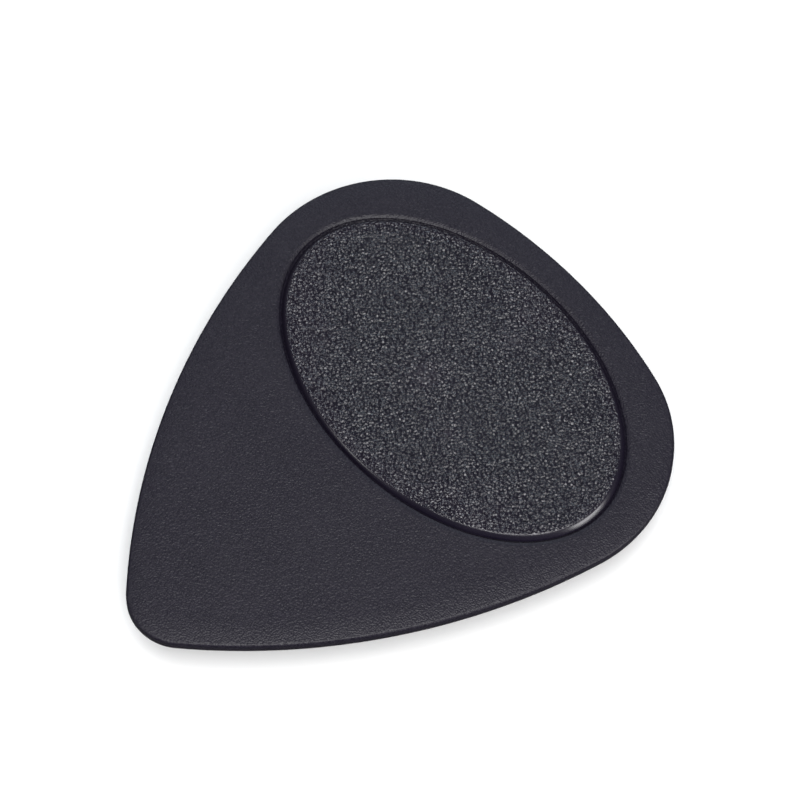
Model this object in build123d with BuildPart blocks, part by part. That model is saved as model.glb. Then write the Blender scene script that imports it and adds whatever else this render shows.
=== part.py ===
from build123d import *
import os
from math import radians, sin, tan

# Spring-loaded plectrum holder for sticking on an instrument. A pick-shaped cover is a
# rocker: pressing the oval thumb pad on its wide end lifts its tip off the tray, and picks
# slide in between the two. All sizes are millimetres.
# Frame: origin on the mounting face, below the middle of the cover's length; +Y from the
# tip to the wide end, +Z up, away from the instrument.

# ---- driving dimensions ----

# pick outline, half of it, as tangent arcs walked from the tip round to the wide end
TIP_RADIUS = 4.35
SIDE_RADIUS = 55.8
SHOULDER_RADIUS = 12.0
TIP_TURN = 43.0
SIDE_TURN = 35.3
SHOULDER_TURN = 88.2
END_TURN = 180 - TIP_TURN - SIDE_TURN - SHOULDER_TURN

# heights above the mounting face
LINER_TOP = 0.15
ADHESIVE_TOP = 1.0
TRAY_FLOOR_TOP = 1.9
DECK_TOP = 4.9
COVER_BOTTOM = 5.0
RIM_TOP = 6.04
CROWN_TOP = 6.12
WELL_FLOOR = 5.7
PAD_TOP = 6.35

# how far each outline lies inside the cover's
TRAY_INSET = 3.0
ADHESIVE_INSET = 3.6
HOLLOW_INSET = 4.0

# oval thumb pad, lying across the wide end
PAD_Y = 9.6
PAD_HALF_WIDTH = 16.7
PAD_HALF_DEPTH = 10.8
PAD_EDGE_RADIUS = 0.4
PAD_GAP = 0.06

# cover
TOP_EDGE_RADIUS = 0.2
HOLLOW_DEPTH = 0.6
HOLLOW_CLEARANCE = 0.6
ROOT_DEPTH = 0.3
EAR_INNER_X = 7.2
EAR_THICKNESS = 2.0
EAR_RADIUS = 1.4

# pivot
PIVOT_Y = -2.5
PIVOT_Z = 3.5
PIN_RADIUS = 0.75
PIN_HALF_LENGTH = 12.6
PIN_CHAMFER = 0.15
RUNNING_CLEARANCE = 0.04
TILT_MAX_DEG = 7.0

# tray
TRAY_WALL = 1.2
LEAD_IN = 0.4
RAIL_WIDTH = 1.0
RAIL_PITCH = 4.4
RAIL_END_Y = -5.6
STOP_THICKNESS = 1.0
STOP_HALF_WIDTH = 6.0
STOP_HEIGHT = 0.35
LUG_INNER_X = 9.4
LUG_LENGTH = 2.6
LUG_RADIUS = 1.35

# return spring and the two bosses that locate it
SPRING_Y = 10.0
SPRING_MEAN_RADIUS = 2.3
SPRING_WIRE_RADIUS = 0.18
SPRING_TURNS = 3.5
BOSS_RADIUS = 1.75
TRAY_BOSS_HEIGHT = 0.7
COVER_BOSS_HEIGHT = 0.45

# liner's pull tab, at the wide end
TAB_HALF_WIDTH = 4.0
TAB_END_Y = 21.6
TAB_CORNER = 1.0


def half_outline(start):
    """Half of the pick outline from start, the tip, to the wide end's middle."""
    tip = JernArc(start, (1, 0), TIP_RADIUS, TIP_TURN)
    side = JernArc(tip @ 1, tip % 1, SIDE_RADIUS, SIDE_TURN)
    shoulder = JernArc(side @ 1, side % 1, SHOULDER_RADIUS, SHOULDER_TURN)
    end_radius = (shoulder @ 1).X / sin(radians(END_TURN))
    return JernArc(shoulder @ 1, shoulder % 1, end_radius, END_TURN)


with BuildLine() as measuring_line:
    last_arc = half_outline((0, 0))
LENGTH = (last_arc @ 1).Y


def pick_sketch(plane, inset=0.0):
    """The pick outline as a filled sketch on a plane, drawn in by inset all round."""
    with BuildSketch(plane) as sketch:
        with BuildLine():
            half_outline((0, -LENGTH / 2))
            mirror(about=Plane.YZ)
        make_face()
        if inset:
            offset(amount=-inset)
    return sketch.sketch


def level(height):
    """The horizontal plane at a height above the mounting face."""
    return Plane.XY.offset(height)


# ---- cover: crowned shell with an oval well, two ears and a spring boss ----

crown_rise = CROWN_TOP - RIM_TOP
crown_radius = ((LENGTH / 2) ** 2 + crown_rise**2) / (2 * crown_rise)

with BuildPart() as cover:
    add(extrude(pick_sketch(level(COVER_BOTTOM)), CROWN_TOP - COVER_BOTTOM, dir=(0, 0, 1)))
    with Locations((0, 0, CROWN_TOP - crown_radius)):
        Sphere(crown_radius, rotation=(90, 0, 0), mode=Mode.INTERSECT)

    # oval well for the thumb pad
    with BuildSketch(level(WELL_FLOOR)):
        with Locations((0, PAD_Y)):
            Ellipse(PAD_HALF_WIDTH + PAD_GAP, PAD_HALF_DEPTH + PAD_GAP)
    extrude(amount=CROWN_TOP - WELL_FLOOR, mode=Mode.SUBTRACT)

    # the crown's own edges, at the rim and round the well's mouth, are rounded
    crown_face = cover.faces().filter_by(GeomType.SPHERE)[0]
    fillet(crown_face.edges(), TOP_EDGE_RADIUS)

    # shallow hollow over the picks, in front of the pivot
    with BuildSketch(level(COVER_BOTTOM)):
        add(pick_sketch(Plane.XY, HOLLOW_INSET))
        with Locations((0, RAIL_END_Y + STOP_THICKNESS + HOLLOW_CLEARANCE)):
            Rectangle(LENGTH, LENGTH, align=(Align.CENTER, Align.MIN), mode=Mode.SUBTRACT)
    extrude(amount=HOLLOW_DEPTH, mode=Mode.SUBTRACT)

    # boss inside the top of the spring
    with BuildSketch(level(COVER_BOTTOM)):
        with Locations((0, SPRING_Y)):
            Circle(BOSS_RADIUS)
    extrude(amount=-COVER_BOSS_HEIGHT)

    # ears that hang down and turn on the pivot pin
    for ear_x in (EAR_INNER_X, -EAR_INNER_X - EAR_THICKNESS):
        with BuildSketch(Plane.YZ.offset(ear_x)):
            with Locations((PIVOT_Y, PIVOT_Z)):
                Circle(EAR_RADIUS)
                Rectangle(
                    2 * EAR_RADIUS,
                    COVER_BOTTOM + ROOT_DEPTH - PIVOT_Z,
                    align=(Align.CENTER, Align.MIN),
                )
                Circle(PIN_RADIUS + RUNNING_CLEARANCE, mode=Mode.SUBTRACT)
        extrude(amount=EAR_THICKNESS)
cover.part.label = "cover"


# ---- thumb pad: textured oval insert that lies on the well's floor ----

with BuildPart() as thumb_pad:
    with BuildSketch(level(WELL_FLOOR)):
        with Locations((0, PAD_Y)):
            Ellipse(PAD_HALF_WIDTH, PAD_HALF_DEPTH)
    extrude(amount=PAD_TOP - WELL_FLOOR)
    fillet(thumb_pad.faces().sort_by(Axis.Z)[-1].edges(), PAD_EDGE_RADIUS)
thumb_pad.part.label = "thumb_pad"


# ---- tray: fixed lower jaw, an open moulding whose walls and rails carry the picks ----

slope = tan(radians(TILT_MAX_DEG))
tray_height = DECK_TOP - ADHESIVE_TOP

with BuildPart() as base_tray:
    add(extrude(pick_sketch(level(ADHESIVE_TOP), TRAY_INSET), tray_height, dir=(0, 0, 1)))
    chamfer(base_tray.faces().sort_by(Axis.Z)[-1].edges(), LEAD_IN)
    add(
        extrude(
            pick_sketch(level(TRAY_FLOOR_TOP), TRAY_INSET + TRAY_WALL),
            DECK_TOP - TRAY_FLOOR_TOP,
            dir=(0, 0, 1),
        ),
        mode=Mode.SUBTRACT,
    )

    # rails that the picks slide on, from the tip's wall to the stop
    with BuildSketch(level(TRAY_FLOOR_TOP)) as rails:
        for rail in range(-2, 3):
            with Locations((rail * RAIL_PITCH, -LENGTH / 2)):
                Rectangle(
                    RAIL_WIDTH, LENGTH / 2 + RAIL_END_Y, align=(Align.CENTER, Align.MIN)
                )
        with Locations((0, RAIL_END_Y)):
            Rectangle(LENGTH, STOP_THICKNESS)
        add(pick_sketch(Plane.XY, TRAY_INSET + TRAY_WALL / 2), mode=Mode.INTERSECT)
    extrude(amount=DECK_TOP - TRAY_FLOOR_TOP)

    # stop for the picks, standing up into the cover's hollow
    with BuildSketch(level(DECK_TOP)):
        with Locations((0, RAIL_END_Y)):
            Rectangle(2 * STOP_HALF_WIDTH, STOP_THICKNESS)
    extrude(amount=STOP_HEIGHT)

    # lugs on the side walls that hold the pin's ends
    for lug_x, lug_side in ((LUG_INNER_X, 1), (-LUG_INNER_X, -1)):
        with BuildSketch(Plane.YZ.offset(lug_x)):
            with Locations((PIVOT_Y, PIVOT_Z)):
                Circle(LUG_RADIUS)
                Rectangle(
                    2 * LUG_RADIUS,
                    PIVOT_Z - TRAY_FLOOR_TOP + ROOT_DEPTH,
                    align=(Align.CENTER, Align.MAX),
                )
        extrude(amount=lug_side * LUG_LENGTH)

    # boss inside the bottom of the spring
    with BuildSketch(level(TRAY_FLOOR_TOP)):
        with Locations((0, SPRING_Y)):
            Circle(BOSS_RADIUS)
    extrude(amount=TRAY_BOSS_HEIGHT)

    # the walls behind the pivot slope down, to let the cover's wide end tilt
    with BuildSketch(Plane.YZ.offset(-LENGTH / 2)):
        with BuildLine():
            Polyline(
                (PIVOT_Y, DECK_TOP),
                (LENGTH / 2, DECK_TOP - (LENGTH / 2 - PIVOT_Y) * slope),
                (LENGTH / 2, CROWN_TOP),
                (PIVOT_Y, CROWN_TOP),
                close=True,
            )
        make_face()
    extrude(amount=LENGTH, mode=Mode.SUBTRACT)

    # one bore straight through both side walls and lugs
    with Locations(Plane(origin=(0, PIVOT_Y, PIVOT_Z), z_dir=(1, 0, 0))):
        Cylinder(PIN_RADIUS, LENGTH, mode=Mode.SUBTRACT)
base_tray.part.label = "base_tray"


# ---- pivot pin: straight steel pin pressed into the tray ----

with BuildPart() as pivot_pin:
    with Locations(Plane(origin=(0, PIVOT_Y, PIVOT_Z), z_dir=(1, 0, 0))):
        Cylinder(PIN_RADIUS, 2 * PIN_HALF_LENGTH)
    chamfer(pivot_pin.edges().filter_by(GeomType.CIRCLE), PIN_CHAMFER)
pivot_pin.part.label = "pivot_pin"


# ---- return spring: compression coil between tray and cover ----

coil_bottom = TRAY_FLOOR_TOP + SPRING_WIRE_RADIUS
coil_top = COVER_BOTTOM - SPRING_WIRE_RADIUS
coil_height = coil_top - coil_bottom

with BuildPart() as return_spring:
    with BuildLine() as coil:
        Helix(
            pitch=coil_height / SPRING_TURNS,
            height=coil_height,
            radius=SPRING_MEAN_RADIUS,
            center=(0, SPRING_Y, coil_bottom),
        )
    with BuildSketch(Plane(origin=coil.line @ 0, z_dir=coil.line % 0)):
        Circle(SPRING_WIRE_RADIUS)
    sweep(is_frenet=True)
return_spring.part.label = "return_spring"


# ---- adhesive pad and its release liner ----

with BuildPart() as adhesive_pad:
    add(
        extrude(
            pick_sketch(level(LINER_TOP), ADHESIVE_INSET),
            ADHESIVE_TOP - LINER_TOP,
            dir=(0, 0, 1),
        )
    )
adhesive_pad.part.label = "adhesive_pad"

with BuildPart() as release_liner:
    with BuildSketch() as liner_outline:
        with Locations((0, TAB_END_Y)):
            Rectangle(2 * TAB_HALF_WIDTH, LENGTH / 4, align=(Align.CENTER, Align.MAX))
        fillet(liner_outline.vertices().group_by(Axis.Y)[-1], TAB_CORNER)
        add(pick_sketch(Plane.XY, ADHESIVE_INSET))
    extrude(amount=LINER_TOP)
release_liner.part.label = "release_liner"


# ---- files ----

os.makedirs("parts", exist_ok=True)
for piece in (
    cover,
    thumb_pad,
    base_tray,
    pivot_pin,
    return_spring,
    adhesive_pad,
    release_liner,
):
    export_step(piece.part, f"parts/{piece.part.label}.step")
print(f"length {LENGTH:.3f} mm, width {cover.part.bounding_box().size.X:.3f} mm")
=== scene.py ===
# %% [markdown]
# # A stick-on pick holder
#
# The real object is a small moulded plastic clip that is stuck on a guitar. A crowned,
# pick-shaped cover rocks on a steel pin: pressing the grained oval at its wide end lifts its
# tip, and picks slide in between the cover and the tray below.
#
# This lesson loads the engineered model as a fixed frame, and then builds the surfaces that
# the eye sees: the cover's soft crown and its well, the grain of the thumb pad, the spring's
# closed end coils and the foam. The tray, the pin and the paper liner keep their own meshes
# and get a finish.

import math

import bpy
import numpy as np
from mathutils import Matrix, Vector


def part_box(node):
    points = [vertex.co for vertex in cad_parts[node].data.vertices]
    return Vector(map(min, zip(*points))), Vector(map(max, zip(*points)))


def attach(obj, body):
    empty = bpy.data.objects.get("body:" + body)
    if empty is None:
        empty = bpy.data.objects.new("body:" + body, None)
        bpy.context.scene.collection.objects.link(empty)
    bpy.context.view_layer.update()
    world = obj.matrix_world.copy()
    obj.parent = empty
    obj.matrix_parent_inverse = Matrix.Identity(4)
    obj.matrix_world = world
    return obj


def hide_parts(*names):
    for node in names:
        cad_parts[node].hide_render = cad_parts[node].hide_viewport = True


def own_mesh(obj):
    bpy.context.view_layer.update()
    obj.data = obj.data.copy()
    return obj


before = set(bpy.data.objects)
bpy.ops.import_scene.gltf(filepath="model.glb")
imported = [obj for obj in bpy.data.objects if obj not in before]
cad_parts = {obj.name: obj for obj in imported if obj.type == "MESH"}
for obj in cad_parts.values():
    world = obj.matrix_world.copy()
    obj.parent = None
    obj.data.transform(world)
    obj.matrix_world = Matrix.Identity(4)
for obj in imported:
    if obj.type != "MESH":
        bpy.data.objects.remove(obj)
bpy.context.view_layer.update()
print("nodes in the frame:", sorted(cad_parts))

# %% [markdown]
# ## Sizes
#
# Everything here is in metres, as in the frame. Heights and the oval's size are read from
# the frame's own boxes, so the pieces fit it without any adjusting. What a box can't tell is
# repeated as numbers: the arcs of the pick outline, and the small features under the cover.

# %% sizes from the frame
MM = 0.001

cover_low, cover_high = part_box("cover")
pad_low, pad_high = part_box("thumb_pad")
foam_low, foam_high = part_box("adhesive_pad")
liner_low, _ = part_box("release_liner")
spring_low, spring_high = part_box("return_spring")
pin_low, pin_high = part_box("pivot_pin")

LENGTH = cover_high.y - cover_low.y
# the spring's top stands against the cover's underside
RIM_BOTTOM = spring_high.z
PAD_Y = (pad_low.y + pad_high.y) / 2
PAD_CENTRE = np.array([0.0, PAD_Y])
PAD_HALF = np.array([pad_high.x - pad_low.x, pad_high.y - pad_low.y]) / 2
WELL_FLOOR = pad_low.z
PAD_TOP = pad_high.z
PIVOT_Y = (pin_low.y + pin_high.y) / 2
PIVOT_Z = (pin_low.z + pin_high.z) / 2
print(f"cover {LENGTH / MM:.2f} mm long, rim at {RIM_BOTTOM / MM:.2f} mm, pad top {PAD_TOP / MM:.2f} mm")

# %% [markdown]
# ## Camera and light
#
# The view is from above the tip's right flank, with a long lens, so the outline is hardly
# narrowed by distance. A camera can be dragged into place by hand. Here a direction in degrees
# and a distance place it, because numbers can be read again, and the same way serves the lamps.

# %% camera
CAMERA_AZIMUTH = math.radians(48.4)
CAMERA_ELEVATION = math.radians(63.34)
CAMERA_DISTANCE = 397.2 * MM
CAMERA_LENS = 225.0
AIM = np.array([-1.46, 5.36, 5.45]) * MM


def direction(azimuth, elevation):
    """Unit vector from the object towards a place at that azimuth and elevation."""
    return np.array(
        [
            math.sin(azimuth) * math.cos(elevation),
            -math.cos(azimuth) * math.cos(elevation),
            math.sin(elevation),
        ]
    )


def aim_object(thing, place, target):
    """Puts a camera or lamp at a place, with its -Z axis towards a target."""
    thing.location = Vector(place)
    thing.rotation_euler = (Vector(target) - Vector(place)).to_track_quat("-Z", "Y").to_euler()


camera_data = bpy.data.cameras.new("view_camera")
camera_data.sensor_width = 36.0
camera_data.lens = CAMERA_LENS
camera_data.clip_start = 0.01
camera_data.clip_end = 10.0
camera = bpy.data.objects.new("view_camera", camera_data)
bpy.context.scene.collection.objects.link(camera)
aim_object(camera, AIM + CAMERA_DISTANCE * direction(CAMERA_AZIMUTH, CAMERA_ELEVATION), AIM)
bpy.context.scene.camera = camera
print(f"camera {CAMERA_DISTANCE / MM:.0f} mm away, lens {CAMERA_LENS:.0f} mm")

# %% [markdown]
# Dark plastic shows its lamps rather than its colour, so each lamp has a task. A softbox high
# on the camera's side lights the floor and the facets of the grain. A front fill lightens the
# shadow under the rim, and isn't seen in reflections, because it would brighten every facet
# that leans towards the camera. A weak card in the same place may be seen, and opens up the
# far side of the well. A strip low on the right draws a bright line along the slopes that face
# it, and a small lamp low on the left does the same there. A cool strip far behind lights the
# edges that lean away from the camera. The tent round them stays dim, so flat plastic stays
# dark.

# %% studio light


def soft_lamp(name, azimuth, elevation, distance, size, power):
    """A square area lamp that looks at the object from a direction given in degrees."""
    data = bpy.data.lights.new(name, "AREA")
    data.shape = "RECTANGLE"
    data.size, data.size_y = size
    data.energy = power
    lamp = bpy.data.objects.new(name, data)
    bpy.context.scene.collection.objects.link(lamp)
    towards = direction(math.radians(azimuth), math.radians(elevation))
    aim_object(lamp, AIM + distance * towards, AIM)
    return lamp


# azimuth and elevation in degrees, distance and size in metres, power in watts
soft_lamp("overhead_softbox", 55, 76, 0.60, (0.34, 0.34), 3.5)
fill = soft_lamp("front_fill", 48, 42, 0.70, (0.50, 0.40), 2.2)
fill.visible_glossy = False
soft_lamp("front_card", 48, 42, 0.72, (0.55, 0.44), 0.7)
soft_lamp("low_right_strip", 105, 14, 0.50, (0.28, 0.20), 1.6)
soft_lamp("low_left_lamp", -20, 12, 0.50, (0.08, 0.10), 0.30)
behind = soft_lamp("far_cool_strip", 228, 33, 0.60, (0.50, 0.08), 0.9)
behind.data.color = (0.80, 0.90, 1.0)

world = bpy.data.worlds.new("studio_tent")
world.use_nodes = True
tent = world.node_tree.nodes["Background"]
tent.inputs["Color"].default_value = (0.97, 0.98, 1.0, 1)
tent.inputs["Strength"].default_value = 0.13
bpy.context.scene.world = world
bpy.context.scene.view_settings.view_transform = "Standard"

# %% [markdown]
# ## Building surfaces
#
# Each new piece is a stack of closed loops with the same number of points, like the ribs of
# a basket. `skin` joins neighbouring loops with quads and closes the ends with a fan, so the
# piece is watertight. Modelling by hand from a bevelled box would give much the same mesh,
# but the loops come from formulas here, so the same outline serves the rim, the crown and
# the foam.

# %% skins


def make_piece(name, vertices, faces):
    """A mesh object at the origin from an array of points and a list of faces."""
    mesh = bpy.data.meshes.new(name)
    mesh.from_pydata(vertices.tolist(), [], faces)
    mesh.validate()
    mesh.polygons.foreach_set("use_smooth", np.full(len(mesh.polygons), True))
    mesh.update()
    piece = bpy.data.objects.new(name, mesh)
    bpy.context.scene.collection.objects.link(piece)
    print(f"{name}: {len(mesh.vertices)} points, {len(mesh.polygons)} faces")
    return piece


def skin_arrays(loops, closed_tube=False):
    """Points and faces of a surface through loops, an array of loop x point x 3.

    Quads join each loop to the next. An end is closed by a fan to the loop's mean point,
    unless closed_tube joins the last loop to the first."""
    count, around, _ = loops.shape
    points = loops.reshape(-1, 3)
    here = np.arange(around)
    ahead = (here + 1) % around
    last = count if closed_tube else count - 1
    rows = np.arange(last)[:, None] * around
    next_rows = (np.arange(1, last + 1)[:, None] % count) * around
    quads = np.stack([rows + here, rows + ahead, next_rows + ahead, next_rows + here], -1)
    faces = quads.reshape(-1, 4).tolist()
    if not closed_tube:
        start, end = len(points), len(points) + 1
        points = np.vstack([points, loops[0].mean(0), loops[-1].mean(0)])
        top = (count - 1) * around
        faces += np.stack([ahead, here, np.full(around, start)], -1).tolist()
        faces += np.stack([top + here, top + ahead, np.full(around, end)], -1).tolist()
    return points, faces


def skin(name, loops, closed_tube=False):
    """A closed piece through a stack of loops."""
    return make_piece(name, *skin_arrays(loops, closed_tube))


# %% [markdown]
# ## The pick outline
#
# A pick is drawn with four tangent arcs on each side of its middle line: the tip, a long
# gentle side, a tight shoulder, and the flat arc of the wide end. A point on it is given by
# the share of the way round. The same arcs also give how far any point inside lies from the
# edge: within an arc's fan it is the radius less the distance from the arc's centre.

# %% the outline as arcs
TURNS = np.radians([43.0, 35.3, 88.2, 13.5])
HEADINGS = np.concatenate([[0.0], np.cumsum(TURNS)])


def outline_arcs():
    """Centres and radii of the four arcs of the right half, walked from the tip.

    Each centre lies one radius to the left of the walker. The last radius is the one whose
    arc ends square on the middle line."""
    radii = [4.35 * MM, 55.8 * MM, 12.0 * MM]
    place, centres = np.zeros(2), []
    for radius, start, end in zip(radii, HEADINGS[:-2], HEADINGS[1:-1]):
        centre = place + radius * np.array([-math.sin(start), math.cos(start)])
        place = centre + radius * np.array([math.sin(end), -math.cos(end)])
        centres.append(centre)
    end_radius = place[0] / math.sin(HEADINGS[-2])
    radii.append(end_radius)
    centres.append(place + end_radius * np.array([-math.sin(HEADINGS[-2]), math.cos(HEADINGS[-2])]))
    centres, radii = np.array(centres), np.array(radii)
    drawn_length = centres[-1, 1] + end_radius
    centres[:, 1] -= drawn_length / 2
    return centres, radii, drawn_length


ARC_CENTRES, ARC_RADII, drawn_length = outline_arcs()
print(f"outline {drawn_length / MM:.3f} mm long, arcs {np.round(ARC_RADII / MM, 2)} mm")


def outline(count, inset=0.0):
    """Points round the pick, and the inward directions there, from count equal steps.

    A step is a share of the arcs' full length. The left half is the right half mirrored and
    walked backwards."""
    lengths = ARC_RADII * TURNS
    reach = np.concatenate([[0.0], np.cumsum(lengths)])
    walked = np.arange(count) / count * 2 * reach[-1]
    mirrored = walked > reach[-1]
    walked = np.where(mirrored, 2 * reach[-1] - walked, walked)
    arc = np.clip(np.searchsorted(reach, walked, side="right") - 1, 0, len(ARC_RADII) - 1)
    heading = HEADINGS[arc] + (walked - reach[arc]) / ARC_RADII[arc]
    outward = np.stack([np.sin(heading), -np.cos(heading)], -1)
    points = ARC_CENTRES[arc] + (ARC_RADII[arc] - inset)[:, None] * outward
    side = np.where(mirrored, -1.0, 1.0)
    return points * np.stack([side, np.ones(count)], -1), -outward * np.stack([side, np.ones(count)], -1)


def depth_inside(points):
    """How far points inside the pick lie from its edge: the least, over the arcs whose fan
    holds the point, of the radius less the distance from the centre."""
    folded = np.stack([np.abs(points[..., 0]), points[..., 1]], -1)
    away = folded[..., None, :] - ARC_CENTRES
    heading = np.arctan2(away[..., 0], -away[..., 1])
    slack = 1e-6
    in_fan = (heading >= HEADINGS[:-1] - slack) & (heading <= HEADINGS[1:] + slack)
    depth = ARC_RADII - np.hypot(away[..., 0], away[..., 1])
    return np.where(in_fan, depth, np.inf).min(-1)


# %% [markdown]
# ## The cover
#
# The cover is a thin shell. Its top is a very low crown that rolls over more and more in the
# last two millimetres, and ends in a short upright rim with small edge radii. A subdivided
# box could be pushed into this shape by hand, but a formula keeps it exact: one height serves
# the whole top, so the reflections run over it without a kink.

# %% the cover's top
AROUND = 640
CROWN_TOP = cover_high.z
CROWN_FALL = 0.08 * MM / (LENGTH / 2) ** 2
ROLL_WIDTH = 2.2 * MM
ROLL_DROP = 0.12 * MM
EDGE_RADIUS = 0.20 * MM
BOTTOM_RADIUS = 0.12 * MM
ROLL_BAND = 1.4 * MM
ROLL_STEPS = 13


def top_height(points):
    """The low crown, which falls with the square of the distance from the middle, less the
    roll, which grows with the square of the nearness to the edge."""
    nearness = np.clip(1 - depth_inside(points) / ROLL_WIDTH, 0, 1)
    return CROWN_TOP - CROWN_FALL * (points**2).sum(-1) - ROLL_DROP * nearness**2


def at_height(points, height):
    """Plane points lifted to a height, which is a number or one number per point."""
    return np.concatenate([points, np.broadcast_to(height, points.shape[:-1])[..., None]], -1)


rim, inward = outline(AROUND)
print(f"top at the rim {top_height(rim).min() / MM:.2f} to {top_height(rim).max() / MM:.2f} mm")

# %% [markdown]
# The loops follow the shell from its underside, round the rim, over the crown and down into
# the well. The underside is flat, with a shallow hollow under the front, which keeps the
# plastic there thin. Its loops run from the hollow's middle outwards, each a mix of the
# hollow's edge and the rim, matched by their direction from that middle.

# %% loops of the underside
HOLLOW_CENTRE = np.array([0.0, -12.0]) * MM
HOLLOW_INSET = 4.0 * MM
HOLLOW_END_Y = -4.0 * MM
HOLLOW_CEILING = RIM_BOTTOM + 0.6 * MM
HOLLOW_RADIUS = 0.2 * MM
HALVINGS = 40
CEILING_SHARES = (0.02, 0.35, 0.7, 0.95)
FLAT_SHARES = (0.03, 0.3, 0.6, 0.85, 0.97)


def unit(vectors):
    """The same directions with length one."""
    return vectors / np.linalg.norm(vectors, axis=-1, keepdims=True)


def hollow_edge(directions):
    """Edge of the hollow under the cover's front, found along each direction by halving the
    step until the point is either the inset's distance from the rim or on the back wall."""
    low, high = np.zeros(len(directions)), np.full(len(directions), LENGTH)
    for _ in range(HALVINGS):
        middle = (low + high) / 2
        points = HOLLOW_CENTRE + directions * middle[:, None]
        depth = depth_inside(points)
        inside = (depth > HOLLOW_INSET) & (points[:, 1] < HOLLOW_END_Y) & np.isfinite(depth)
        low, high = np.where(inside, middle, low), np.where(inside, high, middle)
    return HOLLOW_CENTRE + directions * low[:, None]


def underside_loops():
    """From the middle of the hollow's ceiling, down its rounded wall, to the rim's foot."""
    to_rim = unit(rim - HOLLOW_CENTRE)
    hollow = hollow_edge(to_rim)
    loops = []
    for share in CEILING_SHARES:
        loops.append(at_height(HOLLOW_CENTRE + (hollow - HOLLOW_CENTRE) * share, HOLLOW_CEILING))
    for angle in np.radians([0, 30, 60, 90]):
        inset = HOLLOW_RADIUS * (1 - math.sin(angle))
        drop = HOLLOW_RADIUS * (1 - math.cos(angle))
        loops.append(at_height(hollow - to_rim * inset, HOLLOW_CEILING - drop))
    for angle in np.radians([0, 45, 90]):
        out = HOLLOW_RADIUS / 2 * (1 - math.cos(angle))
        rise = HOLLOW_RADIUS / 2 * (1 - math.sin(angle))
        loops.append(at_height(hollow + to_rim * out, RIM_BOTTOM + rise))
    flat_start = hollow + to_rim * HOLLOW_RADIUS / 2
    flat_end = rim + inward * BOTTOM_RADIUS
    for share in FLAT_SHARES:
        loops.append(at_height(flat_start + (flat_end - flat_start) * share, RIM_BOTTOM))
    return loops


underside = underside_loops()
print(f"underside: {len(underside)} loops of {AROUND} points")

# %% [markdown]
# The rim is upright, with a small radius at its foot and a larger one at its top. A moulded
# edge is never sharp, and these radii are what catches the light. The loops come closer
# together round them, so they stay round in a close view.

# %% loops of the rim


def rim_loops():
    """Round the foot, up the wall, round the top edge and over the roll."""
    loops = []
    for angle in np.radians([0, 30, 60, 90]):
        inset = BOTTOM_RADIUS * (1 - math.sin(angle))
        rise = BOTTOM_RADIUS * (1 - math.cos(angle))
        loops.append(at_height(rim + inward * inset, RIM_BOTTOM + rise))
    low, high = RIM_BOTTOM + BOTTOM_RADIUS, top_height(rim) - EDGE_RADIUS
    for share in (0.25, 0.5, 0.75):
        loops.append(at_height(rim, low + (high - low) * share))
    for angle in np.radians(np.arange(0, 91, 11.25)):
        points = rim + inward * EDGE_RADIUS * (1 - math.cos(angle))
        drop = EDGE_RADIUS * (1 - math.sin(angle))
        loops.append(at_height(points, top_height(points) - drop))
    for inset in np.linspace(EDGE_RADIUS, ROLL_BAND, ROLL_STEPS + 1)[1:]:
        points = rim + inward * inset
        loops.append(at_height(points, top_height(points)))
    return loops


rim_rings = rim_loops()
print(f"rim: {len(rim_rings)} loops")

# %% [markdown]
# Between the rim and the well each loop is a mix of the two outlines, matched by their
# direction from the middle of the oval. Round the well the top first leans inward, as a soft
# lip, and then drops through a tiny radius to the well's floor. The pad stands in the well
# with a hairline gap all round. The floor is drawn a little above the pad's underside, so the
# two meet without a slit.

# %% loops of the crown and the well
PAD_GAP = 0.08 * MM
LIP_WIDTH = np.array([0.34, 0.38]) * MM
LIP_DROP = 0.08 * MM
LIP_STRAIGHT = 0.4
LIP_STEPS = 8
LIP_EDGE_RADIUS = 0.04 * MM
CHANNEL_HEIGHT = WELL_FLOOR + 0.15 * MM
CHANNEL_FOOT = 0.02 * MM
FLOOR_SHARES = (0.9, 0.5, 0.03)
CROWN_STEPS = 56


def oval(directions, grow=0.0):
    """Points on the pad's ellipse, grown all round, in given directions from its middle:
    one over the root of the summed squares of the direction over the half sizes."""
    half = PAD_HALF + grow
    reach = 1 / np.sqrt(((directions / half) ** 2).sum(-1, keepdims=True))
    return PAD_CENTRE + directions * reach


def well_loops():
    """Over the crown to the lip, down the lip and the well's wall, and across its floor. The
    lip's drop mixes a straight line with a square, so it grows steeper on its way in."""
    to_pad = unit(rim - PAD_CENTRE)
    start = rim + inward * ROLL_BAND
    lip = oval(to_pad, PAD_GAP + LIP_WIDTH)
    loops = []
    for share in np.linspace(0, 1, CROWN_STEPS)[1:]:
        points = start + (lip - start) * share
        loops.append(at_height(points, top_height(points)))
    lip_height = top_height(lip)
    for share in np.linspace(0, 1, LIP_STEPS + 1)[1:]:
        points = oval(to_pad, PAD_GAP + LIP_EDGE_RADIUS + (LIP_WIDTH - LIP_EDGE_RADIUS) * (1 - share))
        drop = LIP_DROP * (LIP_STRAIGHT * share + (1 - LIP_STRAIGHT) * share**2)
        loops.append(at_height(points, lip_height - drop))
    for angle in np.radians([30, 60, 90]):
        points = oval(to_pad, PAD_GAP + LIP_EDGE_RADIUS * (1 - math.sin(angle)))
        drop = LIP_DROP + LIP_EDGE_RADIUS * (1 - math.cos(angle))
        loops.append(at_height(points, lip_height - drop))
    wall = oval(to_pad, PAD_GAP)
    for height in (CHANNEL_HEIGHT + CHANNEL_FOOT, CHANNEL_HEIGHT):
        loops.append(at_height(wall, height))
    for share in FLOOR_SHARES:
        loops.append(at_height(PAD_CENTRE + (wall - PAD_CENTRE) * share, CHANNEL_HEIGHT))
    return loops


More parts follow.
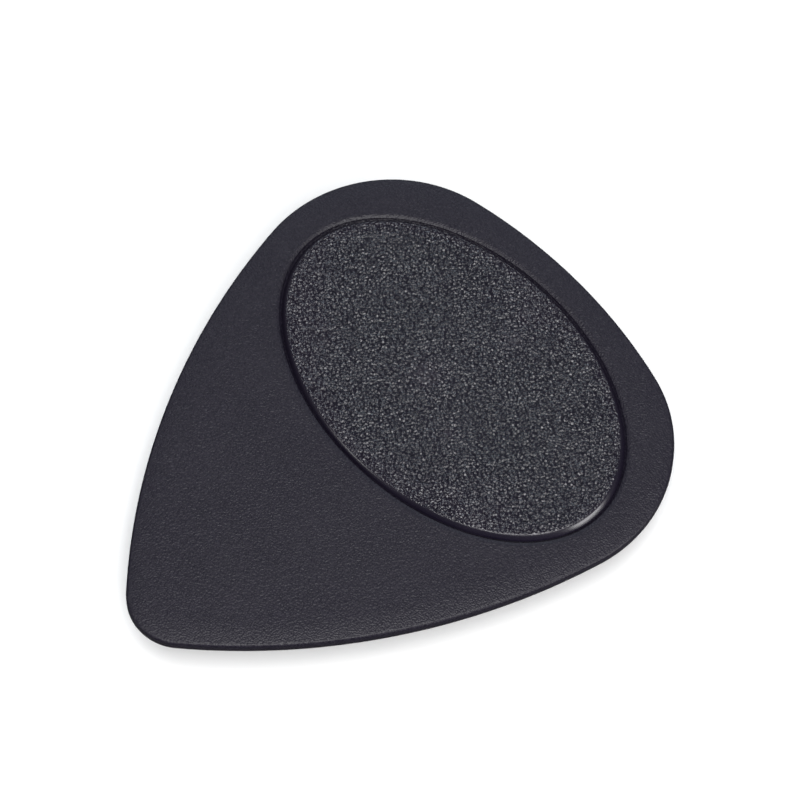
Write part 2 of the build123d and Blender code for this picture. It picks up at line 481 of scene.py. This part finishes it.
shell_points, shell_faces = skin_arrays(np.stack(underside + rim_rings + well_loops()))
print(f"shell: {len(shell_points)} points, {len(shell_faces)} faces")

# %% [markdown]
# Two ears hang from the cover's underside and turn on the pin. A cube with a boolean bore
# would do, but it leaves sharp edges and long thin faces, so each ear is a closed tube of
# loops: outwards over one side, along the rim and back through the bore.

# %% ears
EAR_STEPS = 72
EAR_RADIUS = 1.4 * MM
EAR_X = np.array([7.2, 9.2]) * MM
EAR_EDGE = 0.12 * MM
ROOT = 0.3 * MM
BORE_RADIUS = (pin_high.z - pin_low.z) / 2 + 0.04 * MM
TINY = 1e-9


def ear_loops(low_x, high_x):
    """A plate round the pin: its outline is a circle below and a square above, its bore a
    circle, and the edges between them are rounded. The last loop joins the first."""
    turn = np.arange(EAR_STEPS) / EAR_STEPS * 2 * math.pi
    way = np.stack([np.cos(turn), np.sin(turn)], -1)
    top = RIM_BOTTOM + ROOT - PIVOT_Z
    square = np.minimum(EAR_RADIUS / np.maximum(np.abs(way[:, 0]), TINY), top / np.maximum(way[:, 1], TINY))
    reach = np.where(way[:, 1] > 0, square, EAR_RADIUS)
    sides = ((low_x, EAR_EDGE), (low_x + EAR_EDGE, 0), (high_x - EAR_EDGE, 0), (high_x, EAR_EDGE))
    rings = [(x, way * (reach - edge)[:, None]) for x, edge in sides]
    rings += [(x, way * (BORE_RADIUS + edge)) for x, edge in reversed(sides)]
    axis = [PIVOT_Y, PIVOT_Z]
    return np.stack([np.column_stack([np.full(EAR_STEPS, x), ring + axis]) for x, ring in rings])


right_ear = skin_arrays(ear_loops(EAR_X[0], EAR_X[1]), closed_tube=True)
left_ear = skin_arrays(ear_loops(-EAR_X[1], -EAR_X[0]), closed_tube=True)
print(f"each ear: {len(right_ear[0])} points")

# %% [markdown]
# A short boss under the well centres the spring. Shell, ears and boss are one moulding, so
# they go into one mesh, as closed shells whose roots are buried in the cover. Joining them
# with a boolean would give the same look and a worse mesh.

# %% boss and the whole cover
BOSS_RADIUS = 1.75 * MM
BOSS_HEIGHT = 0.45 * MM
BOSS_CORE = 0.2 * MM
SPRING_Y = (spring_low.y + spring_high.y) / 2


def turned_loops(profile, centre, steps=48):
    """Loops of a turned shape, from (radius, height) pairs and its centre in plan."""
    turn = np.arange(steps) / steps * 2 * math.pi
    way = np.stack([np.cos(turn), np.sin(turn)], -1)
    return np.stack([at_height(centre + way * radius, height) for radius, height in profile])


def joined(parts):
    """Points and faces of several closed shells as one mesh."""
    points, faces, start = [], [], 0
    for part_points, part_faces in parts:
        points.append(part_points)
        faces += [[index + start for index in face] for face in part_faces]
        start += len(part_points)
    return np.vstack(points), faces


boss_end = RIM_BOTTOM - BOSS_HEIGHT
boss_profile = [
    (BOSS_CORE, boss_end),
    (BOSS_RADIUS - 0.25 * MM, boss_end),
    (BOSS_RADIUS - 0.07 * MM, boss_end + 0.05 * MM),
    (BOSS_RADIUS, boss_end + 0.2 * MM),
    (BOSS_RADIUS, RIM_BOTTOM + ROOT),
    (BOSS_CORE, RIM_BOTTOM + ROOT),
]
boss = skin_arrays(turned_loops(boss_profile, np.array([0.0, SPRING_Y])))
cover_shell = make_piece("cover_shell", *joined([(shell_points, shell_faces), right_ear, left_ear, boss]))
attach(cover_shell, "cover")
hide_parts("cover")

# %% [markdown]
# ## The thumb pad
#
# The pad is a flat oval insert with a pebbled grain that keeps the thumb from slipping. The
# grain is spark-eroded into the mould: rounded peaks, about a quarter of a millimetre apart,
# of uneven height. It is made at two scales. The mesh carries a gentle unevenness, and the
# finish adds the peaks themselves as a bump, because as real geometry they would take
# millions of faces.

# %% the mesh's share of the grain
SWELL_PITCH = 0.70 * MM
SWELL_HEIGHT = 0.02 * MM


def scatter(cell_x, cell_y):
    """A repeatable number from 0 to 1 for each cell: the fraction of a large sine of a mix
    of its indices. The factors only have to be large and share no simple ratio."""
    mixed = np.sin(cell_x * 127.1 + cell_y * 311.7 + 74.7) * 43758.5453
    return mixed - np.floor(mixed)


def swell(points, pitch):
    """Smooth value noise from 0 to 1: the four nearest grid corners' random heights, mixed
    by a smooth step of the place between them."""
    grid = points / pitch
    cell = np.floor(grid)
    part = grid - cell
    part = part * part * (3 - 2 * part)
    height = 0
    for step_x in (0, 1):
        for step_y in (0, 1):
            share_x = part[..., 0] if step_x else 1 - part[..., 0]
            share_y = part[..., 1] if step_y else 1 - part[..., 1]
            corner = scatter(cell[..., 0] + step_x, cell[..., 1] + step_y)
            height = height + share_x * share_y * corner
    return height


print(f"swells {SWELL_PITCH / MM:.2f} mm apart, up to {SWELL_HEIGHT / MM:.2f} mm high")

# %% [markdown]
# An oval could be filled by a fan, but its faces would crowd in the middle. A square grid
# bent to a disc by concentric squares keeps all its cells about the same size, and its border
# becomes the oval's edge.

# %% a disc without a centre point
PAD_CELLS = 220


def disc_from_square(across, along):
    """Concentric squares of side two turned into concentric circles of radius one: the
    larger of the two numbers is the radius, their ratio the share of an eighth turn."""
    wide = np.abs(across) > np.abs(along)
    radius = np.where(wide, across, along)
    safe = np.where(radius == 0, 1, radius)
    eighth = np.where(wide, along / safe, across / safe) * math.pi / 4
    angle = np.where(wide, eighth, math.pi / 2 - eighth)
    return np.stack([radius * np.cos(angle), radius * np.sin(angle)], -1)


ticks = np.linspace(-1, 1, PAD_CELLS + 1)
disc = disc_from_square(*np.meshgrid(ticks, ticks, indexing="ij"))
print(f"disc of {disc.shape[0]} x {disc.shape[1]} points")

# %% [markdown]
# The oval's edge is then carried down as a smooth slope, of about 40 degrees at first and
# then steeper, which the grain doesn't reach. An attribute named `grain` tells the finish
# where the peaks are: one on the flat, zero on the slope. Two finishes in two slots would
# also do that, but with a hard line between them.

# %% the pad's mesh
SLOPE_WIDTH = np.array([0.48, 0.36]) * MM
SLOPE_STEPS = 9
SLOPE_STRAIGHT = 0.55
GRAIN_MARGIN = 0.10 * MM


def pad_mesh():
    """Points, faces and grain mask of the pad: grained top, slope, and flat underside. The
    slope's drop mixes a straight line with a cosine, so it grows steeper on its way down."""
    top_half = PAD_HALF - SLOPE_WIDTH
    plan = disc * top_half
    margin = (1 - np.linalg.norm(disc, axis=-1)) * top_half.min()
    mask = np.clip(margin / GRAIN_MARGIN, 0, 1)
    edge_height = PAD_TOP - SWELL_HEIGHT
    height = edge_height + SWELL_HEIGHT * mask * swell(plan, SWELL_PITCH)
    points = at_height(plan + PAD_CENTRE, height).reshape(-1, 3)

    rows = np.arange(PAD_CELLS)[:, None] * (PAD_CELLS + 1) + np.arange(PAD_CELLS)
    quads = np.stack([rows, rows + PAD_CELLS + 1, rows + PAD_CELLS + 2, rows + 1], -1)
    faces = quads.reshape(-1, 4).tolist()

    index = np.arange((PAD_CELLS + 1) ** 2).reshape(PAD_CELLS + 1, -1)
    border = np.concatenate([index[:-1, 0], index[-1, :-1], index[:0:-1, -1], index[0, :0:-1]])
    edge_way = unit(disc.reshape(-1, 2)[border])
    base = at_height(edge_way * top_half + PAD_CENTRE, edge_height)
    depth = edge_height - WELL_FLOOR
    loops = []
    for share in np.linspace(0, 1, SLOPE_STEPS + 1)[1:]:
        curved = 1 - math.cos(share * math.pi / 2)
        drop = depth * (SLOPE_STRAIGHT * share + (1 - SLOPE_STRAIGHT) * curved)
        loops.append(base + at_height(edge_way * SLOPE_WIDTH * share, -drop))
    count, start = len(border), len(points)
    rings = [border] + [start + count * k + np.arange(count) for k in range(len(loops))]
    for upper, lower in zip(rings[:-1], rings[1:]):
        quads = np.stack([upper, lower, np.roll(lower, -1), np.roll(upper, -1)], -1)
        faces += quads.tolist()
    middle = np.full(count, start + count * len(loops))
    faces += np.stack([rings[-1], middle, np.roll(rings[-1], -1)], -1).tolist()
    points = np.vstack([points, np.concatenate(loops), [[0.0, PAD_Y, WELL_FLOOR]]])
    grain = np.zeros(len(points))
    grain[:start] = mask.reshape(-1)
    return points, faces, grain


pad_points, pad_faces, pad_grain = pad_mesh()
thumb_pad_grained = make_piece("thumb_pad_grained", pad_points, pad_faces)
grain_layer = thumb_pad_grained.data.attributes.new("grain", "FLOAT", "POINT")
grain_layer.data.foreach_set("value", pad_grain)
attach(thumb_pad_grained, "cover")
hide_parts("thumb_pad")

# %% [markdown]
# ## The return spring
#
# A compression spring has closed end coils: the first and last turns lie almost flat, so
# that it stands square on its seats. A bevelled curve would show the same wire, but a skin
# through circles carried along the coil is a closed mesh, whose points can be moved one by
# one. When the cover is pressed the real spring shortens towards its seat; the coil here is
# built at the frame's length.

# %% the spring's coil
WIRE_RADIUS = 0.18 * MM
COIL_RADIUS = (spring_high.x - spring_low.x) / 2 - WIRE_RADIUS
COIL_TURNS = 4.75
CLOSED_TURNS = 0.7
CLOSED_RISE = 0.2
COIL_STEPS = 400
WIRE_STEPS = 14


def spring_loops():
    """Circles of wire carried along the coil. It climbs the closed rise's share of its
    height evenly all the way, and the rest between the closed turns at its ends."""
    share = np.linspace(0, 1, COIL_STEPS)
    turn = share * COIL_TURNS * 2 * math.pi
    climb = np.clip((share * COIL_TURNS - CLOSED_TURNS) / (COIL_TURNS - 2 * CLOSED_TURNS), 0, 1)
    rise = CLOSED_RISE * share + (1 - CLOSED_RISE) * climb
    low, high = spring_low.z + WIRE_RADIUS, spring_high.z - WIRE_RADIUS
    path = np.column_stack(
        [COIL_RADIUS * np.cos(turn), SPRING_Y + COIL_RADIUS * np.sin(turn), low + (high - low) * rise]
    )
    ahead = unit(np.gradient(path, axis=0))
    outward = np.column_stack([np.cos(turn), np.sin(turn), np.zeros(COIL_STEPS)])
    outward = unit(outward - (outward * ahead).sum(-1, keepdims=True) * ahead)
    upward = np.cross(ahead, outward)
    ring = np.arange(WIRE_STEPS) / WIRE_STEPS * 2 * math.pi
    offsets = np.cos(ring)[None, :, None] * outward[:, None] + np.sin(ring)[None, :, None] * upward[:, None]
    return path[:, None] + WIRE_RADIUS * offsets


return_spring_coil = skin("return_spring_coil", spring_loops())
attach(return_spring_coil, "base")
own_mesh(return_spring_coil)
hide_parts("return_spring")

# %% [markdown]
# ## Foam and liner
#
# The adhesive foam is cut with a steel rule, so its edge is slightly pinched between its
# two faces. A plain extrusion would look like hard plastic, so the loops of its edge are
# drawn in towards mid height. The paper liner keeps the mesh of the frame.

# %% the foam
FOAM_AROUND = 320
FOAM_INSET = (rim[:, 0].max() - foam_high.x) + 0.02 * MM
FOAM_PINCH = 0.10 * MM
FACE_SHARES = (0.02, 0.5, 0.9)
EDGE_LOOPS = 9


def foam_loops():
    """The outline drawn in by the inset, and a little more at mid height: the pinch is a
    parabola over the thickness."""
    low, high = foam_low.z, foam_high.z
    inner, _ = outline(FOAM_AROUND, FOAM_INSET + FOAM_PINCH)
    loops = [at_height(inner * share, low) for share in FACE_SHARES]
    for share in np.linspace(0, 1, EDGE_LOOPS):
        pinch = FOAM_PINCH * 4 * share * (1 - share)
        points, _ = outline(FOAM_AROUND, FOAM_INSET + pinch)
        loops.append(at_height(points, low + (high - low) * share))
    loops += [at_height(inner * share, high) for share in reversed(FACE_SHARES)]
    return np.stack(loops)


adhesive_foam = skin("adhesive_foam", foam_loops())
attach(adhesive_foam, "base")
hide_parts("adhesive_pad")

# %% [markdown]
# ## Finishes
#
# A finish is a network of nodes, and long networks read badly as clicks or as code. Here a
# small class wraps one output socket, so that `0.4 + 0.1 * grain` adds the Math nodes by
# itself.

# %% signals


class Signal:
    """A number that varies over a surface, held as one output socket, with arithmetic."""

    def __init__(self, finish, socket):
        self.finish = finish
        self.socket = socket

    def _math(self, operation, first, second):
        return self.finish.node("ShaderNodeMath", {"operation": operation}, {0: first, 1: second})

    def __add__(self, other):
        return self._math("ADD", self, other)

    __radd__ = __add__

    def __sub__(self, other):
        return self._math("SUBTRACT", self, other)

    def __rsub__(self, other):
        return self._math("SUBTRACT", other, self)

    def __mul__(self, other):
        return self._math("MULTIPLY", self, other)

    __rmul__ = __mul__


# %% [markdown]
# A second class holds one material. Its `node` method makes every other kind of node from its
# settings and its inputs, and a few short methods name the nodes that are used often.

# %% finishes as a class


class Finish:
    """One procedural material. Constants go straight onto the shader's own sockets."""

    def __init__(self, name, **constants):
        self.material = bpy.data.materials.new(name)
        self.material.use_nodes = True
        self.tree = self.material.node_tree
        self.shader = self.tree.nodes["Principled BSDF"]
        for key, value in constants.items():
            self.shader.inputs[key.replace("_", " ")].default_value = value
        self.place = self.node("ShaderNodeTexCoord", out="Object")

    def node(self, kind, settings=None, inputs=None, out=0):
        """Any node: its settings are set first, then its inputs, as values or Signals."""
        node = self.tree.nodes.new(kind)
        for key, value in (settings or {}).items():
            if key == "stops":
                self._stops(node.color_ramp, value)
            else:
                setattr(node, key, value)
        for key, value in (inputs or {}).items():
            if isinstance(value, Signal):
                self.tree.links.new(value.socket, node.inputs[key])
            else:
                node.inputs[key].default_value = value
        return Signal(self, node.outputs[out])

    @staticmethod
    def _stops(ramp, stops):
        """A ramp's stops, each (position, grey), the first two reusing the ramp's own."""
        for index, (position, grey) in enumerate(stops):
            stop = ramp.elements[index] if index < 2 else ramp.elements.new(position)
            stop.position = position
            stop.color = (grey, grey, grey, 1)

    def noise(self, size, detail=2.0, stretch=(1, 1, 1)):
        """Soft noise from 0 to 1 whose blotches are about size metres, stretched by axis."""
        scaled = self.node(
            "ShaderNodeMapping", {}, {"Vector": self.place, "Scale": stretch}, out="Vector"
        )
        inputs = {"Vector": scaled, "Scale": 1 / size, "Detail": detail}
        return self.node("ShaderNodeTexNoise", {}, inputs, out="Fac")

    def ramp(self, value, stops):
        """A number bent by a ramp of (position, grey) stops."""
        return self.node("ShaderNodeValToRGB", {"stops": stops}, {"Fac": value}, out="Color")

    def tint(self, mask, first, second):
        """A mix of two colours by a mask. The node has same-named sockets for each type of
        data: 0 is the factor, 6 and 7 are the colours, and 2 is the colour that comes out."""
        settings = {"data_type": "RGBA", "clamp_factor": True}
        return self.node("ShaderNodeMix", settings, {0: mask, 6: first, 7: second}, out=2)

    def drive(self, **sockets):
        """Feeds signals into the shader's varying sockets."""
        for key, value in sockets.items():
            self.tree.links.new(value.socket, self.shader.inputs[key.replace("_", " ")])

    def bump(self, height, strength, distance):
        """A Bump node over a height signal, whose full range stands distance metres high."""
        inputs = {"Height": height, "Strength": strength, "Distance": distance}
        return self.node("ShaderNodeBump", {}, inputs, out="Normal")


def paint(piece, finish):
    """Gives a piece one finish in place of all its material slots."""
    piece.data.materials.clear()
    piece.data.materials.append(finish.material)
    print(f"{piece.name}: finish {finish.material.name}, {len(finish.tree.nodes)} nodes")


# %% [markdown]
# ### Cover plastic
#
# The cover is charcoal ABS with a hint of violet, moulded against a finely blasted steel
# surface. That gives a satin sheen made of very small random facets. A noise of 0.14 mm
# drives a bump, a second one of 0.15 mm paints shade specks into the colour, small darker
# spots that stand in for the shade in the blasted texture's valleys, and a wide one lets
# roughness and colour wander a little. Roughness alone would give the sheen but not the
# specks in it, so these specks are painted shade.

# %% cover plastic
CHARCOAL = (0.0030, 0.0019, 0.0070, 1)
CHARCOAL_PALE = (0.0105, 0.0085, 0.0155, 1)


def cover_finish():
    """Satin charcoal plastic with a fine blasted grain."""
    finish = Finish("cover_plastic", Specular_IOR_Level=0.34)
    fine = finish.noise(0.14 * MM, detail=0)
    # painted shade: darker specks in the colour stand in for the shade in the texture's small valleys
    painted_shade_specks = finish.ramp(finish.noise(0.15 * MM, detail=0), [(0.38, 0), (0.62, 1)])
    broad = finish.noise(6 * MM, detail=2)
    finish.drive(
        # Base Color: random tone from the wide noise, and painted shade from the specks
        Base_Color=finish.tint(0.3 * broad + 0.7 * painted_shade_specks, CHARCOAL, CHARCOAL_PALE),
        Roughness=0.38 + 0.08 * broad + 0.06 * fine,
        Normal=finish.bump(fine, 1.0, 0.035 * MM),
    )
    return finish


paint(cover_shell, cover_finish())

# %% [markdown]
# ### Pad plastic
#
# The pad is the same plastic. Its peaks are the cells of a Voronoi pattern: in each cell the
# height falls with the square of the distance from the cell's point, which makes a small
# dome with a sharp valley round it. The domes' near sides catch the softbox as bright
# specks. A finer noise makes their heights uneven, and the `grain` attribute stops them at
# the slope.

# %% pad plastic
PEAK_PITCH = 0.26 * MM


def pad_finish():
    """Charcoal plastic with domed grain on the flat and a smooth slope."""
    finish = Finish("pad_plastic", Specular_IOR_Level=0.56)
    grain = finish.node("ShaderNodeAttribute", {"attribute_name": "grain"}, out="Fac")
    away = finish.node(
        "ShaderNodeTexVoronoi",
        {"voronoi_dimensions": "2D"},
        {"Vector": finish.place, "Scale": 1 / PEAK_PITCH},
        out="Distance",
    )
    fine = finish.noise(0.15 * MM, detail=0)
    broad = finish.noise(5 * MM, detail=2)
    peaks = grain * (0.6 * fine - away * away)
    finish.drive(
        # painted shade: the colour darkens where the fine noise lowers the bump, so the grain's low spots
        # look shaded; the wide noise is random tone
        Base_Color=finish.tint(0.7 * broad + 0.3 * fine, CHARCOAL, CHARCOAL_PALE),
        Roughness=0.22 + 0.08 * broad,
        Normal=finish.bump(peaks, 1.0, 0.13 * MM),
    )
    return finish


paint(thumb_pad_grained, pad_finish())

# %% [markdown]
# ### Tray plastic
#
# The tray is a plain black moulding that nobody looks at much. Its mesh is the frame's own,
# so only a finish is needed: flow marks that run along its length, and a faint fine bump.

# %% tray plastic


def tray_finish():
    """Plain black moulded plastic with faint flow marks along the length."""
    finish = Finish("tray_plastic", IOR=1.5)
    flow = finish.noise(3 * MM, detail=3, stretch=(1, 0.25, 1))
    fine = finish.noise(0.2 * MM, detail=2)
    finish.drive(
        Base_Color=finish.tint(flow, (0.020, 0.020, 0.023, 1), (0.028, 0.028, 0.031, 1)),
        Roughness=0.38 + 0.14 * flow,
        Normal=finish.bump(fine, 0.25, 0.015 * MM),
    )
    return finish


paint(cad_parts["base_tray"], tray_finish())

# %% [markdown]
# ### Steels
#
# The pin is drawn bar and the spring is drawn wire. Bare steel is all reflection, so its
# colour goes into Base Color at full Metallic, and what tells the two apart is the direction
# in which their fine marks are stretched.

# %% steels


def steel_finish(name, colour, worn, stretch):
    """Bare steel whose drawing or grinding marks run along one direction."""
    finish = Finish(name, Metallic=1.0)
    marks = finish.noise(0.25 * MM, detail=3, stretch=stretch)
    patches = finish.noise(1.5 * MM, detail=2)
    finish.drive(
        Base_Color=finish.tint(patches, colour, worn),
        Roughness=0.22 + 0.16 * marks,
        Normal=finish.bump(marks, 0.2, 0.01 * MM),
    )
    return finish


paint(
    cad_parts["pivot_pin"],
    steel_finish("pin_steel", (0.62, 0.62, 0.60, 1), (0.50, 0.50, 0.49, 1), (0.1, 1, 1)),
)
paint(
    return_spring_coil,
    steel_finish("spring_steel", (0.56, 0.55, 0.53, 1), (0.42, 0.41, 0.39, 1), (1, 1, 3)),
)

# %% [markdown]
# ### Foam and paper
#
# Closed-cell foam is matte and full of small round pores, which a Voronoi pattern gives as
# dents. The liner is glazed paper: fibres in its colour and bump, under a thin weak coat.

# %% foam and paper


def foam_finish():
    """Dark closed-cell foam: small round pores as dents."""
    finish = Finish("adhesive_foam")
    pores = finish.node(
        "ShaderNodeTexVoronoi", {}, {"Vector": finish.place, "Scale": 1 / (0.12 * MM)}, out="Distance"
    )
    broad = finish.noise(2 * MM)
    finish.drive(
        Base_Color=finish.tint(broad, (0.045, 0.045, 0.048, 1), (0.065, 0.065, 0.070, 1)),
        Roughness=0.8 + 0.1 * broad,
        Normal=finish.bump(pores, 0.5, 0.03 * MM),
    )
    return finish


def paper_finish():
    """Glazed cream release paper with faint fibres."""
    finish = Finish("liner_paper", Coat_Roughness=0.25, Coat_Weight=0.3)
    fibres = finish.noise(0.5 * MM, detail=4, stretch=(1, 0.3, 1))
    finish.drive(
        Base_Color=finish.tint(fibres, (0.70, 0.66, 0.55, 1), (0.80, 0.77, 0.68, 1)),
        Roughness=0.45 + 0.15 * fibres,
        Normal=finish.bump(fibres, 0.15, 0.01 * MM),
    )
    return finish


paint(adhesive_foam, foam_finish())
paint(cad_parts["release_liner"], paper_finish())

# %% [markdown]
# ## The floor
#
# The object lies on pale matte paper, a single face just below the liner. The floor is kept
# out of reflections: a white sheet this large would light up the cover's dark rim from below.

# %% floor
FLOOR_HALF = 1.5
FLOOR_GAP = 0.01 * MM


def floor_finish():
    """Pale matte paper."""
    finish = Finish("pale_paper")
    broad = finish.noise(0.3, detail=1)
    finish.drive(Base_Color=finish.tint(broad, (0.86, 0.86, 0.86, 1), (0.88, 0.88, 0.88, 1)))
    finish.shader.inputs["Roughness"].default_value = 0.9
    return finish


corners = np.array([[-1, -1], [1, -1], [1, 1], [-1, 1]]) * FLOOR_HALF
floor = make_piece("floor", at_height(corners, liner_low.z - FLOOR_GAP), [[0, 1, 2, 3]])
paint(floor, floor_finish())
floor.visible_glossy = False
